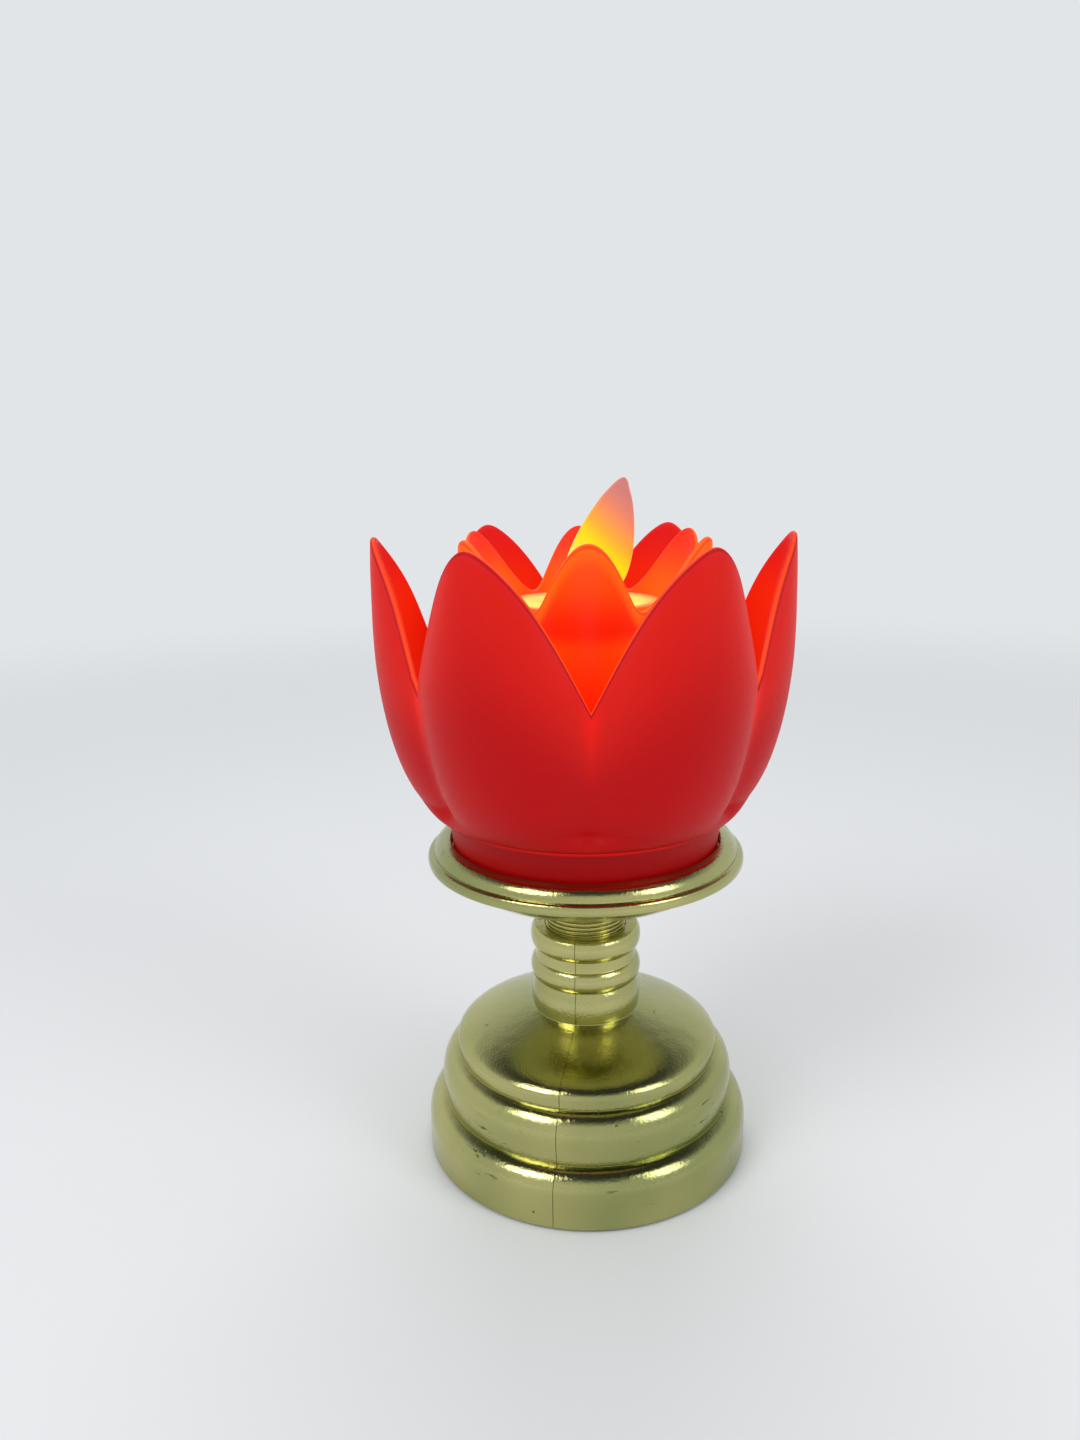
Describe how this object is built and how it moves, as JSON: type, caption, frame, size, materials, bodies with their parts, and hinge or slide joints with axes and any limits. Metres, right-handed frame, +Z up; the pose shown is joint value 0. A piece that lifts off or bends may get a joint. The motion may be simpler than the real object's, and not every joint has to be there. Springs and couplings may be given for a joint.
{
  "type": "flameless led candle",
  "caption": "Lotus-shaped battery candle lamp: two nested translucent petal cups round a lit core with a swinging plastic flame, on a plated saucer and stepped pedestal.",
  "frame": {"origin": "on the table, below the centre of the round foot", "axes": "+Z up the stem, -Y towards the front of the picture, +X to the right as seen from the front"},
  "size_m": [0.1072, 0.0998, 0.1813],
  "materials": {
    "gold_plating": "vacuum plated plastic, mirror gloss, dark antique gold",
    "outer_petal": "translucent satin red, lit from inside",
    "inner_petal": "translucent satin red-orange, lit from inside",
    "core_plastic": "milky translucent",
    "cap_plastic": "milky translucent, glowing yellow",
    "flame_plastic": "frosted, glowing yellow at the foot and pink at the tip",
    "base_plastic": "black, fine grain",
    "knob_plastic": "off-white",
    "pad_rubber": "matt black",
    "bright_steel": "bright zinc or nickel",
    "contact_metal": "bright",
    "cell_can": "plain green sleeve over steel",
    "copper_wire": "enamelled copper",
    "board": "green lacquer",
    "chip": "black epoxy",
    "led_lens": "clear epoxy, lit warm yellow",
    "red_sleeve": "satin PVC",
    "black_sleeve": "satin PVC"
  },
  "bodies": {
    "lamp": {"pedestal_shell_left": "gold_plating", "pedestal_shell_right": "gold_plating", "base_plate": "base_plastic", "battery_tray": "base_plastic", "switch_body": "bright_steel", "foot_pad_1": "pad_rubber", "foot_pad_2": "pad_rubber", "foot_pad_3": "pad_rubber", "foot_pad_4": "pad_rubber", "base_screw_1": "bright_steel", "base_screw_2": "bright_steel", "base_screw_3": "bright_steel", "base_screw_4": "bright_steel", "battery_cell_front": "cell_can", "battery_cell_back": "cell_can", "contact_positive": "contact_metal", "contact_negative": "bright_steel", "contact_bridge": "bright_steel", "lead_red": "red_sleeve", "lead_black": "black_sleeve", "lead_switch": "red_sleeve", "saucer": "gold_plating", "lotus_screw_1": "bright_steel", "lotus_screw_2": "bright_steel", "lotus_screw_3": "bright_steel", "outer_petal_cup": "outer_petal", "inner_petal_cup": "inner_petal", "core_base": "core_plastic", "core_body": "core_plastic", "core_cap": "cap_plastic", "flame_cradle": "core_plastic", "coil_bobbin": "base_plastic", "coil_winding": "copper_wire", "coil_core": "bright_steel", "circuit_board": "board", "control_chip": "chip", "glow_led_left": "led_lens", "glow_led_right": "led_lens", "flame_led": "led_lens", "pivot_wire": "bright_steel"},
    "flame": {"flame_tab": "flame_plastic", "flame_magnet": "bright_steel"},
    "switch": {"switch_knob": "knob_plastic"},
    "door": {"battery_door": "base_plastic"}
  },
  "joints": [
    {"name": "flame_swing", "type": "hinge", "parent": "lamp", "child": "flame", "pos_m": [0, 0, 0.146], "axis": [0, 1, 0], "range_deg": [-28, 2]},
    {"name": "switch_slide", "type": "slide", "parent": "lamp", "child": "switch", "axis": [1, 0, 0], "range_m": [-0.003, 0]},
    {"name": "battery_door_hinge", "type": "hinge", "parent": "lamp", "child": "door", "pos_m": [-0.02665, 0, 0.0022], "axis": [0, 1, 0], "range_deg": [0, 70]}
  ]
}
